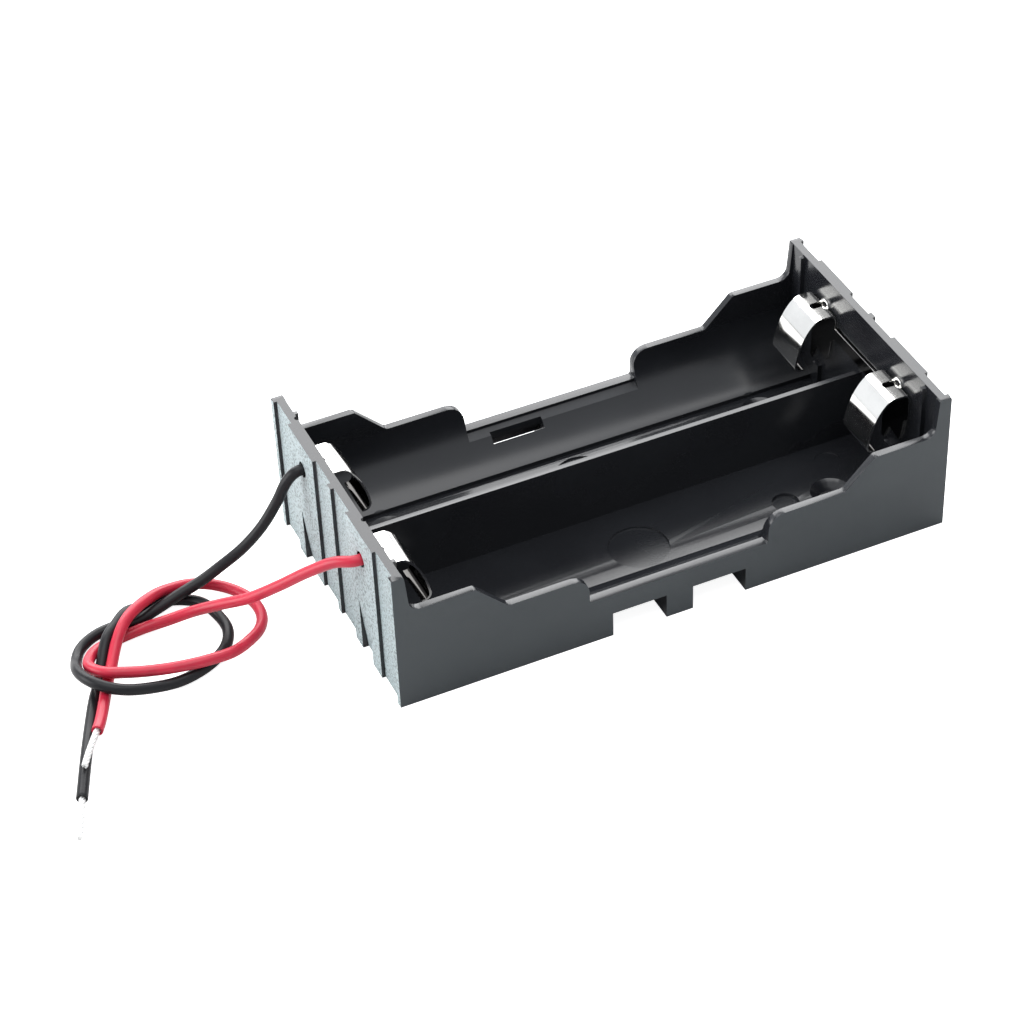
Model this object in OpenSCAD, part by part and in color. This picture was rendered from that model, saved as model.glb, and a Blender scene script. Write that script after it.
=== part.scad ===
// Open holder for two cylindrical cells lying side by side and wired in series.
// Millimetres. X runs along the cells with the leads at -X, Z is up, and the
// origin is at the middle of the case's underside.

/* [Cells] */
// Diameter of one cell
cell_d = 18.4; // [17.8:0.1:18.8]
// Length of one cell
cell_l = 65; // [62:0.5:70]
// Play of a cell across its bay
cell_play = 0.15; // [0.1:0.05:0.5]
// Room for a spring leaf at each end of a cell
leaf_room = 4.9; // [4.6:0.1:6]

/* [Case] */
// Height of the corner posts and end walls
case_h = 21; // [19.5:0.5:24]
// Thickness of the long walls
wall_t = 1; // [0.8:0.1:1.4]
// Thickness of the end walls between their raised panels
end_t = 1.1; // [0.9:0.1:1.6]
// Height of the raised panels on the end walls
panel_relief = 0.5; // [0.3:0.1:0.8]
// Thickness of the floor
floor_t = 2; // [1.6:0.1:2.6]
// Thickness of the curved cradle over the hollow underside
cradle_t = 1.1; // [0.9:0.1:1.5]
// Thickness of the divider between the bays
divider_t = 0.9; // [0.7:0.1:1.4]
// Thickness of the divider at its top
divider_top_t = 0.7; // [0.5:0.05:1.4]
// Height of the divider
divider_h = 12.2; // [9:0.2:13]

/* [Long walls] */
// Width of a corner post at the top of the case
post_l = 1.7; // [1.2:0.1:2.4]
// Extra width of a corner post at its foot
post_taper = 0.5; // [0.2:0.1:0.8]
// Height of the wall beside the posts
shoulder_h = 15.3; // [14.5:0.1:17]
// Length of the wall beside the posts
shoulder_l = 8.7; // [7:0.1:10]
// Height of the wall between the slopes and the finger opening
middle_h = 11; // [10:0.1:12]
// Length of the wall between a slope and the finger opening
middle_l = 11.1; // [9:0.1:13]
// Height of the wall at the finger opening
finger_h = 6.8; // [6.5:0.1:8]
// Rounding of the wall where it drops to the finger opening
finger_round = 2.3; // [1.5:0.1:2.6]
// Drop from the rim of the finger opening to the ledge inside it
ledge_drop = 0.5; // [0.4:0.1:1]
// Slope of the ledge, in degrees
ledge_slope = 18; // [10:1:25]
// Width of the rim of the finger opening
rim_t = 1.4; // [1.2:0.1:1.6]

/* [Floor] */
// Width of the flat floor, from the divider to the cradle
flat_w = 12.65; // [11.5:0.05:13]
// Diameter of the round recess in the middle of each bay
disc_d = 8.2; // [7:0.1:9]
// Depth of the round recess
disc_depth = 0.3; // [0.2:0.05:0.5]
// Distance of the round recess from the middle of the case
disc_y = 8.2; // [7.5:0.1:9]
// Diameter of the small round marks in the floor
mark_d = 3.7; // [3:0.1:4.5]
// Depth of the small marks beside two mounting holes
mark_depth = 0.45; // [0.2:0.05:0.6]
// Diameter of a mounting hole
screw_d = 3.2; // [2.5:0.1:3.6]
// Diameter of the countersink of a mounting hole
screw_head_d = 5.6; // [5:0.1:6.4]
// Spacing of the mounting holes along the case
screw_span_x = 55.6; // [50:0.1:57]
// Spacing of the mounting holes across the case
screw_span_y = 19.6; // [18.6:0.1:20]

/* [Notches] */
// Length of each notch in the foot of a long wall
notch_l = 7.6; // [6:0.1:9]
// Length of the foot between the two notches
notch_gap = 3.8; // [3:0.1:5]
// Height of the notches in the front wall
front_notch_h = 3.7; // [2.5:0.1:4]
// Height of the notches in the back wall
back_notch_h = 3; // [2.5:0.1:4]
// Width of the slot through the back cradle
slot_w = 1.3; // [1:0.1:1.6]

/* [End walls] */
// Width of a raised panel
panel_w = 8.5; // [7:0.1:10]
// Width of the rib in the middle of an end wall
middle_rib_w = 1.1; // [0.8:0.1:2]
// Width of the recess in the foot of a panel
recess_w = 3.4; // [2.5:0.1:5]
// Height at which the recess in the foot of a panel runs out
recess_h = 8.3; // [5:0.1:10]
// Depth of the recess at the underside
recess_depth = 0.8; // [0.4:0.1:0.9]
// Distance of the guide ribs inside the end walls from the middle of a bay
guide_offset = 6.4; // [5.5:0.1:7.5]
// Thickness of the guide ribs
guide_t = 0.6; // [0.5:0.1:1]
// Depth of the guide ribs
guide_depth = 0.6; // [0.4:0.1:1]
// Width of the stop rib under each contact
stop_w = 1.4; // [1:0.1:2]
// Diameter of the nicks in the top edge at the leads
nick_d = 0.8; // [0.6:0.1:1.2]

/* [Contacts] */
// Thickness of the contact strip
strip_t = 0.3; // [0.2:0.05:0.4]
// Width of a contact
contact_w = 6.2; // [5:0.1:7]
// Height of the fold at the top of a contact
fold_h = 17.2; // [16:0.1:18.5]
// Distance of the leaf's nose from the end wall
leaf_reach = 6.3; // [5.4:0.1:6.8]
// Height of the leaf's nose
nose_h = 10.4; // [9:0.1:11.5]
// Radius of the curl at the free end of the leaf
curl_r = 0.95; // [0.7:0.05:1.2]
// Height of the lower edge of the back plate
plate_foot_h = 8.9; // [8.5:0.1:11]
// Height of the locking leg's foot
leg_foot_h = 6.2; // [5:0.1:8]
// Width of the keyhole that the lug was cut from
keyhole_w = 1.2; // [0.9:0.1:1.6]
// Reach of the keyhole from the end wall at the far contacts
keyhole_reach = 2.5; // [2:0.1:3]
// Reach of the keyhole at the contacts with leads
lead_keyhole_reach = 1.6; // [1.5:0.1:2.5]
// Diameter of the solder lug
lug_d = 2.2; // [1.8:0.1:2.6]
// Diameter of the hole in the solder lug
lug_hole_d = 1; // [0.8:0.05:1.2]
// Height of the bridge between the two far contacts
bridge_h = 1.8; // [1.2:0.1:2.5]
// Gap between the divider and the bridge over it
bridge_gap = 0.8; // [0.4:0.1:1.2]
// Depth of the groove behind the bridge
groove_depth = 0.35; // [0.2:0.05:0.5]

/* [Leads] */
// Diameter of the insulation
lead_d = 1.5; // [1.3:0.05:1.6]
// Diameter of a bare lead end
bare_d = 0.9; // [0.7:0.05:1]
// Diameter of a lead hole in the end wall
lead_hole_d = 2.2; // [1.9:0.1:2.6]
// Height of the lead holes
lead_h = 16.6; // [15.6:0.1:17.6]

/* [Hidden] */
$fn = 48;
over = 1;

bay_w = cell_d + cell_play;
bay_y = divider_t / 2 + bay_w / 2;
cradle_r = bay_w / 2;
axis_h = floor_t + cradle_r;
inner_x = cell_l / 2 + leaf_room;
end_x = inner_x + end_t;
case_x = end_x + panel_relief;
inner_y = bay_y + cradle_r;
case_y = inner_y + wall_t;
step_y = divider_t / 2 + flat_w;

// Places along a long wall, counted in from the end of the case
post_x = case_x - post_l;
shoulder_x = post_x - post_taper;
slope_top_x = shoulder_x - shoulder_l;
slope_foot_x = slope_top_x - (shoulder_h - middle_h);
finger_x = slope_foot_x - middle_l;
ledge_y = case_y - rim_t;
ledge_h = finger_h - ledge_drop;

// Hollow under each cradle
under_y = case_y - 1.2 * wall_t;
under_x = inner_x - 1;
hollow_x = finger_x + 0.5;

// Small marks in the floor and the cradle, at +X in the front bay and at -X in the back bay
mark_x = 21.4;
mark_y = 9;
faint_mark = [30.5, 4];
faint_depth = 0.1;

// Nicks in the top edge at the leads, and the nick under each lead hole
nick_y = [14.6, -7.8];
lead_nick_w = 0.9;
lead_nick_foot = 15.1;

// Recess in the foot of a panel, off the middle of the panel
recess_shift = 0.3;

// Contacts
plate_top_h = fold_h - strip_t / 2;
bend_r = 0.9;
fold_flat = 1.4;
leaf_lead_in = 1.2;
leaf_belly = 3.8;
bridge_foot = divider_h + bridge_gap;
plate_slant = 1;
leg_w = 0.6;
solder_d = keyhole_w - 0.1;
stop_depth = 0.6;
stop_shift = 1.2;
stop_h = leg_foot_h - 0.1;

// Routes of the two leads from the lugs, through one loose overhand knot tied in both, to the
// ends of the insulation
black_route = [
    [-37.4, 9.7, 16.6], [-39.8, 9.7, 16.6], [-41.5, 10, 15.4], [-43, 10.2, 12.4], [-44.9, 10.6, 8.5],
    [-47.8, 11, 5.6], [-51, 11, 3.9], [-54.2, 10.5, 2.9], [-57.4, 9.8, 2.5], [-60.5, 9.4, 1.8],
    [-63.6, 9.5, 1], [-66.8, 9.7, 0.8], [-69.6, 9.3, 0.8], [-71.9, 7.9, 0.9], [-73.6, 5.3, 1.3],
    [-74.1, 2.2, 1.9], [-73.3, -0.7, 2.5], [-71.6, -2.9, 2.5], [-69.2, -4.3, 2], [-66, -4.7, 1.2],
    [-62.4, -4.6, 0.8], [-59.1, -3.8, 0.8], [-56.2, -2.5, 0.8], [-54, -0.3, 0.8], [-53.1, 2.7, 0.8],
    [-53.3, 6, 0.8], [-54.6, 9, 0.8], [-56.9, 11.1, 0.8], [-59.7, 12.1, 0.8], [-62.5, 12.2, 1.2],
    [-64.8, 11, 2.3], [-66.9, 8.8, 2.5], [-68.8, 6.2, 2.5], [-70.4, 3.2, 1], [-71.7, 0.5, 0.8],
    [-73.3, -2.4, 0.8], [-75.4, -6.5, 0.8], [-77.4, -11.2, 0.8], [-80, -17.9, 0.8]];
red_route = [
    [-37.4, -9.7, 16.6], [-39.8, -9.7, 16.6], [-42, -8, 16.2], [-44.7, -5.3, 13.6], [-47.8, -2.6, 10],
    [-50.8, 0.4, 6.9], [-53.8, 3.2, 4.6], [-56.9, 5.2, 3], [-60.1, 6.6, 1.9], [-63.4, 7.2, 1.1],
    [-66.8, 7.2, 0.8], [-69.9, 6.5, 0.8], [-72, 4.4, 1.5], [-72.1, 1.7, 2.4], [-70.8, -0.2, 2.6],
    [-68.4, -1.2, 2.5], [-65.3, -1.9, 2.3], [-61.8, -2.6, 2.4], [-58.2, -3.2, 2.5], [-54.8, -3.1, 2.3],
    [-51.7, -1.9, 1.5], [-49.3, 0.4, 0.9], [-48.2, 3.3, 0.8], [-48.4, 6.4, 0.8], [-49.8, 9.4, 0.8],
    [-52.1, 11.9, 0.8], [-54.7, 13.3, 1.1], [-57.6, 13.1, 2], [-60.3, 11.7, 2.8], [-63.1, 10.1, 3],
    [-65.5, 7.7, 3], [-67.5, 5.2, 2.2], [-68.8, 2.6, 0.9], [-70.2, -0.1, 0.8], [-71.7, -3.2, 0.8],
    [-73.2, -6.3, 0.8], [-74.1, -8, 0.8]];
// Bare strands beyond the insulation
black_tip_end = [-82.3, -23.7, 0.5];
red_tip_end = [-78.1, -13.9, 2.1];

function unit(v) = v / norm(v);
function turn(v, a) = [v.x * cos(a) - v.y * sin(a), v.x * sin(a) + v.y * cos(a)];
function reverse(list) = [for (i = [len(list) - 1:-1:0]) list[i]];

// Points of an arc of radius r that rounds corner b between a and c
function corner(a, b, c, r, n) =
    let (u = unit(a - b), v = unit(c - b), half = acos(u * v) / 2,
         centre = b + unit(u + v) * r / sin(half),
         start = b + u * r / tan(half) - centre,
         sweep = (180 - 2 * half) * (cross(u, v) > 0 ? -1 : 1))
    r == 0 ? [b] : [for (i = [0:n]) centre + turn(start, sweep * i / n)];

// Closed outline through [x, y, radius] corners
function rounded(path, n = 6) =
    [for (i = [0:len(path) - 1])
        let (a = path[(i + len(path) - 1) % len(path)], b = path[i], c = path[(i + 1) % len(path)])
        each corner([a.x, a.y], [b.x, b.y], [c.x, c.y], b.z, n)];

function bezier(p, n) =
    [for (i = [0:n]) let (t = i / n, s = 1 - t)
        s * s * s * p[0] + 3 * s * s * t * p[1] + 3 * s * t * t * p[2] + t * t * t * p[3]];

// Outline of a bent strip of thickness t along an open path
function beside(path, d) =
    [for (i = [0:len(path) - 1])
        let (t = unit(path[min(i + 1, len(path) - 1)] - path[max(i - 1, 0)]))
        path[i] + d * [-t.y, t.x]];
function strip(path, t) = concat(beside(path, t / 2), reverse(beside(path, -t / 2)));

// A prism across the case: profile in X and Z, centred on y
module across(width, y = 0) {
    translate([0, y + width / 2, 0]) rotate([90, 0, 0]) linear_extrude(width) children();
}

// A prism along the case: profile in Y and Z, centred on x
module along(length, x = 0) {
    translate([x - length / 2, 0, 0]) rotate([90, 0, 90]) linear_extrude(length) children();
}

module both_ends() {
    children();
    mirror([1, 0, 0]) children();
}

module both_bays() {
    children();
    mirror([0, 1, 0]) children();
}

// Side outline of the case: posts, shoulders, slopes and the finger opening
module wall_outline() {
    half = [
        [finger_x, finger_h, 0.3], [finger_x, middle_h, finger_round],
        [slope_foot_x, middle_h, 0.8], [slope_top_x, shoulder_h, 0.8],
        [shoulder_x, shoulder_h, 1.6], [post_x, case_h, 0.2],
        [case_x, case_h, 0.2], [case_x, 0, 0]];
    mirrored = [for (p = reverse(half)) [-p.x, p.y, p.z]];
    polygon(rounded(concat(half, mirrored)));
}

// Section of one bay's hollow: flat floor, then the cradle
module bay_section() {
    translate([bay_y, axis_h]) circle(cradle_r);
    translate([-over, floor_t]) square([step_y + over, case_h]);
    translate([bay_y, axis_h]) square([cradle_r, case_h]);
}

// Section of the hollow under one cradle
module under_section() {
    difference() {
        translate([bay_y, -over]) square([under_y - bay_y, axis_h + over]);
        translate([bay_y, axis_h]) circle(cradle_r + cradle_t);
        translate([0, -over]) square([step_y + cradle_t, case_h]);
    }
}

module tray() {
    intersection() {
        across(2 * case_y) wall_outline();
        along(2 * case_x) difference() {
            translate([-case_y, 0]) square([2 * case_y, case_h]);
            bay_section();
            mirror([1, 0]) bay_section();
        }
    }
}

module divider() {
    along(2 * end_x) polygon([
        [-divider_t / 2, 0], [divider_t / 2, 0], [divider_t / 2, floor_t], [divider_top_t / 2, divider_h],
        [-divider_top_t / 2, divider_h], [-divider_t / 2, floor_t]]);
}

module end_wall() {
    translate([inner_x, -inner_y - wall_t / 2, 0]) cube([case_x - inner_x, 2 * inner_y + wall_t, case_h]);
    // Guide ribs for the contacts
    both_bays() translate([inner_x - guide_depth, bay_y + guide_offset - guide_t / 2, 0])
        cube([guide_depth + over, guide_t, case_h - guide_depth / 2]);
}

// Strips left low between the middle rib, the panels and the posts
module end_wall_cuts() {
    rib_y = middle_rib_w / 2;
    panel_in = bay_y - panel_w / 2;
    panel_out = bay_y + panel_w / 2;
    both_bays() {
        translate([end_x, rib_y, -over]) cube([over, panel_in - rib_y, case_h + 2 * over]);
        translate([end_x, panel_out, -over]) cube([over, inner_y - panel_out, case_h + 2 * over]);
    }
    // Recess that deepens evenly towards the underside
    slope = recess_depth / recess_h;
    both_places() across(recess_w, recess_shift) polygon([
        [case_x + over, recess_h], [case_x, recess_h],
        [case_x - recess_depth - over * slope, -over], [case_x + over, -over]]);
}

// Hole for a lead, with a small nick below it
module lead_hole() {
    length = case_x - inner_x + 2 * over;
    translate([-case_x - over, bay_y, 0]) {
        translate([0, 0, lead_h]) rotate([0, 90, 0]) cylinder(d = lead_hole_d, h = length);
        rotate([90, 0, 90]) linear_extrude(length) polygon([
            [-lead_nick_w / 2, lead_h], [0, lead_nick_foot], [lead_nick_w / 2, lead_h]]);
    }
}

// Nicks in the inner top edge of the wall at the leads
module rim_nicks() {
    for (y = nick_y) translate([-inner_x, y, case_h - nick_d]) cylinder(d = nick_d, h = nick_d + over);
}

// Groove in the far end wall behind the bridge, so that its top edge stands clear of the wall
module bridge_groove() {
    half = bay_y - contact_w / 2 + plate_slant;
    translate([inner_x - over, -half, bridge_foot])
        cube([over + groove_depth, 2 * half, bridge_h + groove_depth]);
}

// Rib under a contact's back plate
module stop_rib() {
    translate([inner_x - stop_depth, stop_shift - stop_w / 2, 0]) cube([stop_depth + over, stop_w, stop_h]);
}

// Small round marks left in the floor
module floor_marks() {
    translate([mark_x, -mark_y, floor_t - mark_depth]) cylinder(d = mark_d, h = mark_depth + over);
    translate([-mark_x, mark_y, floor_t - mark_depth]) cylinder(d = mark_d, h = mark_depth + over);
    translate([faint_mark.x, -faint_mark.y, floor_t - faint_depth])
        cylinder(d = mark_d, h = faint_depth + over);
}

module screw_hole() {
    depth = (screw_head_d - screw_d) / 2;
    translate([screw_span_x / 2, screw_span_y / 2, 0]) {
        translate([0, 0, -over]) cylinder(d = screw_d, h = floor_t + 2 * over);
        translate([0, 0, floor_t - depth])
            cylinder(d1 = screw_d, d2 = screw_head_d + 2 * over, h = depth + over);
    }
}

module foot_notches(height, y) {
    both_ends() translate([notch_gap / 2, y, -over]) cube([notch_l, 2 * wall_t, height + over]);
}

module case() {
    color("#23282b") difference() {
        union() {
            tray();
            divider();
            both_ends() {
                end_wall();
                both_places() stop_rib();
            }
        }
        both_ends() end_wall_cuts();
        bridge_groove();
        rim_nicks();
        // Ledge inside the rim of each finger opening, sloping into the bay
        both_bays() along(2 * finger_x) polygon([
            [bay_y, ledge_h - (ledge_y - bay_y) * tan(ledge_slope)], [ledge_y, ledge_h],
            [ledge_y, finger_h + over], [bay_y, finger_h + over]]);
        // Hollow underside: a pocket over each notch, then a long one towards each end
        both_bays() both_ends() {
            along(notch_l, (notch_gap + notch_l) / 2) under_section();
            along(under_x - hollow_x, (under_x + hollow_x) / 2) under_section();
        }
        foot_notches(front_notch_h, -case_y - wall_t / 2);
        foot_notches(back_notch_h, case_y - 1.5 * wall_t);
        // Slot through the cradle over the first notch of the back wall
        translate([-notch_gap / 2 - notch_l, under_y - 1 - slot_w, 0]) cube([notch_l, slot_w, finger_h]);
        both_bays() lead_hole();
        both_bays() both_ends() screw_hole();
        both_bays() translate([0, disc_y, floor_t - disc_depth])
            cylinder(d = disc_d, h = disc_depth + over);
        floor_marks();
    }
}

// Centreline of a contact in X and Z: up the end wall, over the fold, down the leaf, round the curl
function leaf_path() =
    let (wall_x = inner_x - strip_t / 2, nose_x = inner_x - leaf_reach + strip_t / 2,
         fold_x = wall_x - bend_r - fold_flat)
    concat(
        [[wall_x, plate_top_h - bend_r - strip_t]],
        [for (a = [0:15:90]) [wall_x - bend_r + bend_r * cos(a), plate_top_h - bend_r + bend_r * sin(a)]],
        bezier([[fold_x, plate_top_h], [fold_x - leaf_lead_in, plate_top_h],
                [nose_x + curl_r / 2, nose_h + leaf_belly], [nose_x, nose_h]], 20),
        [for (a = [190:12:290]) [nose_x + curl_r + curl_r * cos(a), nose_h + curl_r * sin(a)]]);

// Back plate in Y and Z: slanted in at one side, a tooth, and the locking leg at the other side
module back_plate() {
    half = contact_w / 2;
    top = plate_top_h - bend_r;
    tooth = -half + 2 * plate_slant;
    polygon([
        [-half, top], [-half, bridge_foot], [-half + plate_slant, bridge_foot - plate_slant],
        [tooth - leg_w, plate_foot_h + leg_w], [tooth, plate_foot_h - leg_w],
        [half - 3 * leg_w, plate_foot_h], [half - leg_w, leg_foot_h], [half, leg_foot_h], [half, top]]);
    // Solder lug standing in the plane of the plate
    translate([-keyhole_w / 2, top - over]) square([keyhole_w, lead_h - top + over]);
    translate([0, lead_h]) circle(d = lug_d);
}

// One contact at the +X end, centred on y = 0
module contact(reach) {
    hole_x = inner_x - reach + keyhole_w / 2;
    difference() {
        union() {
            difference() {
                across(contact_w) polygon(strip(leaf_path(), strip_t));
                // Keyhole that the lug was cut from
                translate([hole_x, 0, plate_top_h - over]) cylinder(d = keyhole_w, h = 2 * over);
                translate([hole_x, -keyhole_w / 2, plate_top_h - bend_r])
                    cube([inner_x - hole_x + over, keyhole_w, 2 * over]);
            }
            translate([inner_x - strip_t, 0, 0]) rotate([90, 0, 90]) linear_extrude(strip_t) back_plate();
        }
        translate([inner_x - strip_t - over, 0, lead_h]) rotate([0, 90, 0])
            cylinder(d = lug_hole_d, h = strip_t + 2 * over);
    }
}

module contact_black() {
    color("#d8d8d4") translate([0, bay_y, 0]) mirror([1, 0, 0]) contact(lead_keyhole_reach);
}

module contact_red() {
    color("#d8d8d4") translate([0, -bay_y, 0]) mirror([1, 0, 0]) contact(lead_keyhole_reach);
}

module contact_bridge() {
    color("#d8d8d4") {
        both_places() contact(keyhole_reach);
        translate([inner_x - strip_t, -bay_y, bridge_foot]) cube([strip_t, 2 * bay_y, bridge_h]);
    }
}

module both_places() {
    for (y = [-bay_y, bay_y]) translate([0, y, 0]) children();
}

// Solder on a lug with the lead's tinned strands through the lug's hole
module solder(y) {
    color("#c9c9c6") translate([-inner_x, y, lead_h]) rotate([0, 90, 0]) {
        cylinder(d = lug_hole_d, h = strip_t);
        intersection() {
            translate([0, 0, strip_t]) sphere(d = solder_d);
            translate([-lug_d, -lug_d, strip_t]) cube(2 * lug_d);
        }
    }
}

module solder_black() {
    solder(bay_y);
}

module solder_red() {
    solder(-bay_y);
}

// Directions across a path at point i: sideways and upwards
function heading(path, i) = unit(path[min(i + 1, len(path) - 1)] - path[max(i - 1, 0)]);
function sideways(t) = unit(cross(t, [0, 0, 1]));

// Tube of diameter d along a path, one ring of n points at each point of it
module tube(path, d, n = 8) {
    rings = [for (i = [0:len(path) - 1])
        let (t = heading(path, i), side = sideways(t), up = cross(side, t))
        for (k = [0:n - 1]) path[i] + d / 2 * (cos(360 * k / n) * side + sin(360 * k / n) * up)];
    walls = [for (i = [0:len(path) - 2]) for (k = [0:n - 1]) let (m = (k + 1) % n)
        each [[i * n + k, i * n + m, (i + 1) * n + m], [i * n + k, (i + 1) * n + m, (i + 1) * n + k]]];
    last = (len(path) - 1) * n;
    first_cap = [[for (k = [n - 1:-1:0]) k]];
    last_cap = [[for (k = [0:n - 1]) last + k]];
    polyhedron(rings, concat(walls, first_cap, last_cap));
}

module lead_black() {
    color("#26282a") tube(black_route, lead_d);
}

module lead_red() {
    color("#d8405a") tube(red_route, lead_d);
}

// Bare strands from the end of a route to a point
module tip(path, end) {
    start = path[len(path) - 1];
    reach = end - start;
    color("#c9c9c6") translate(start)
        rotate([0, acos(reach.z / norm(reach)), atan2(reach.y, reach.x)])
            cylinder(d = bare_d, h = norm(reach));
}

module tip_black() {
    tip(black_route, black_tip_end);
}

module tip_red() {
    tip(red_route, red_tip_end);
}

case();
contact_black();
contact_red();
contact_bridge();
solder_black();
solder_red();
lead_black();
lead_red();
tip_black();
tip_red();
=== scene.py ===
"""Dresses the cell holder: moulded case, nickel spring contacts, solder, leads and bare ends."""

import math

import bmesh
import bpy
from bpy.props import FloatProperty, FloatVectorProperty, IntProperty, PointerProperty
from mathutils import Matrix, Vector


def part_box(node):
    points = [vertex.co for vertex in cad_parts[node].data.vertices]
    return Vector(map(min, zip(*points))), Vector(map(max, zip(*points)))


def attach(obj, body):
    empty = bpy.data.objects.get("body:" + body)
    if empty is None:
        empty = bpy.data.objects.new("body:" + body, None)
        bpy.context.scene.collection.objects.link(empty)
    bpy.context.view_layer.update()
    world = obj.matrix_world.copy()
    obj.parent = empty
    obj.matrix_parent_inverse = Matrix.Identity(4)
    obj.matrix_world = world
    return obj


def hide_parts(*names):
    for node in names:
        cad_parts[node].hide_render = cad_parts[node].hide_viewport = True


bl_info = {
    "name": "Cell holder finish",
    "version": (1, 0, 0),
    "blender": (4, 5, 0),
    "location": "3D View > Sidebar > Cell holder",
    "description": "Builds the finished look of an open holder for cylindrical cells",
    "category": "Object",
}

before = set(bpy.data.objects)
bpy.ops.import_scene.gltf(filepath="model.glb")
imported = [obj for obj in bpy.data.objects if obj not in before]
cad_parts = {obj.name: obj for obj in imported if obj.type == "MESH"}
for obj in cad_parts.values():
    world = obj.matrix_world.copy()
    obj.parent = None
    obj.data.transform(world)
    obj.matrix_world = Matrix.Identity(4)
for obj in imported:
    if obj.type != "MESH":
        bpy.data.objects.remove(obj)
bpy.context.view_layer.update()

MM = 0.001
BODY = "root"
WHITE = (1.0, 1.0, 1.0, 1.0)

# Camera: place and the directions of its right, up and back axes
CAMERA_PLACE = (-0.12993, -0.27225, 0.25944)
CAMERA_RIGHT = (0.907957, -0.417640, -0.034515)
CAMERA_UP = (0.295114, 0.578756, 0.760229)
CAMERA_BACK = (-0.297526, -0.700441, 0.648737)
CAMERA_LENS = 104.97

# Routes of the leads in millimetres, from the lugs through the knot to the cut ends
BLACK_ROUTE = [
    (-37.4, 9.7, 16.6), (-39.8, 9.7, 16.6), (-41.3, 10, 15.1), (-42.8, 10.2, 12.2),
    (-45.1, 10.4, 8.8), (-47.9, 10.7, 6), (-51.1, 10.8, 4.1), (-54.2, 10.4, 3), (-57.4, 9.9, 2.4),
    (-60.5, 9.4, 1.7), (-63.6, 9.2, 0.9), (-66.8, 9.5, 0.9), (-69.6, 8.9, 0.9), (-71.8, 7.4, 0.9),
    (-73.1, 5, 1.2), (-73.7, 1.9, 2.5), (-73.1, -0.9, 3.1), (-71.4, -2.9, 2.9), (-69, -3.8, 2.2),
    (-65.8, -4, 1.4), (-62.4, -3.9, 0.9), (-59.1, -3.1, 0.8), (-56.4, -1.7, 0.8), (-54.5, 0.2, 0.8),
    (-53.5, 2.7, 0.8), (-53.7, 5.7, 0.8), (-54.8, 8.7, 0.9), (-57.1, 10.7, 0.8), (-59.9, 11.4, 0.9),
    (-62.7, 11, 1.4), (-64.7, 9.7, 2.5), (-66.6, 7.9, 2.7), (-68.6, 5.8, 2.6), (-70.4, 2.9, 1.4),
    (-71.7, 0.4, 0.8), (-73.3, -2.5, 0.8), (-75.2, -6.6, 0.8), (-77.3, -11.5, 1), (-80, -17.9, 0.8),
]
RED_ROUTE = [
    (-37.4, -9.7, 16.6), (-39.8, -9.7, 16.6), (-42, -7.9, 15.8), (-44.7, -5.5, 13.4),
    (-47.8, -2.8, 10.2), (-50.9, 0.1, 7.1), (-53.8, 3.1, 4.8), (-56.9, 5.4, 3), (-60.1, 6.6, 1.8),
    (-63.4, 7.3, 1.1), (-66.8, 7.2, 0.8), (-70, 6.1, 1.1), (-71.8, 3.6, 2), (-72, 1.6, 2.6),
    (-70.8, -0.3, 3), (-68.4, -1.4, 2.9), (-65.4, -2.2, 2.6), (-61.9, -3, 2.5), (-58.2, -3.4, 2.4),
    (-54.7, -3, 2), (-51.8, -1.4, 1.6), (-49.7, 0.7, 1.1), (-48.6, 3.3, 0.8), (-48.7, 6.2, 0.8),
    (-50, 9.1, 0.8), (-52.3, 11.3, 1), (-55, 12.3, 1.4), (-57.8, 11.9, 2.1), (-60.3, 10.8, 2.9),
    (-63.1, 9, 3.5), (-65.6, 7, 3.5), (-67.6, 4.6, 2.8), (-69.3, 1.9, 1.8), (-70.7, -0.5, 1.5),
    (-72.2, -3.6, 1.5), (-73.7, -6.7, 1.6), (-74.8, -8.7, 1.9),
]
BLACK_TIP = (-82.3, -23.7, 0.5)
RED_TIP = (-78.2, -14.1, 2.2)

# Bends of the contact strip in millimetres, as in the solids
STRIP_THICKNESS = 0.3
FOLD_HEIGHT = 17.2
LEAF_REACH = 6.3
NOSE_HEIGHT = 10.4
CURL_RADIUS = 0.95
BEND_RADIUS = 0.9
FOLD_FLAT = 1.4
LEAF_LEAD_IN = 1.2
LEAF_BELLY = 3.8
# Foot of the centreline, above the base
STRIP_FOOT = 5
# Steps along the bend, the leaf and the curl
BEND_STEPS, LEAF_STEPS, CURL_STEPS = 24, 120, 40
# Cosine between a face and a true normal that still belongs to it
SAME_FACE = 0.97
SAME_CRADLE = 0.99
# Largest Y part of a normal on the strip's broad faces
EDGE_PART = 0.3
# Marks the side of the strip that its bends enclose, where the nickel is painted dark as painted
# shade
ENCLOSED = "enclosed"
# Cradle of a bay in millimetres, as in the solids
CRADLE_RADIUS = 9.275
BAY_MIDDLE = 9.725
CRADLE_AXIS = 11.275
# How far a corner may lie off its cradle's surface
CRADLE_SLACK = 0.03
# Faces larger than this, in square metres, are flat or part of a cradle
FLAT_AREA = 1.5e-6


# Properties


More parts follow.
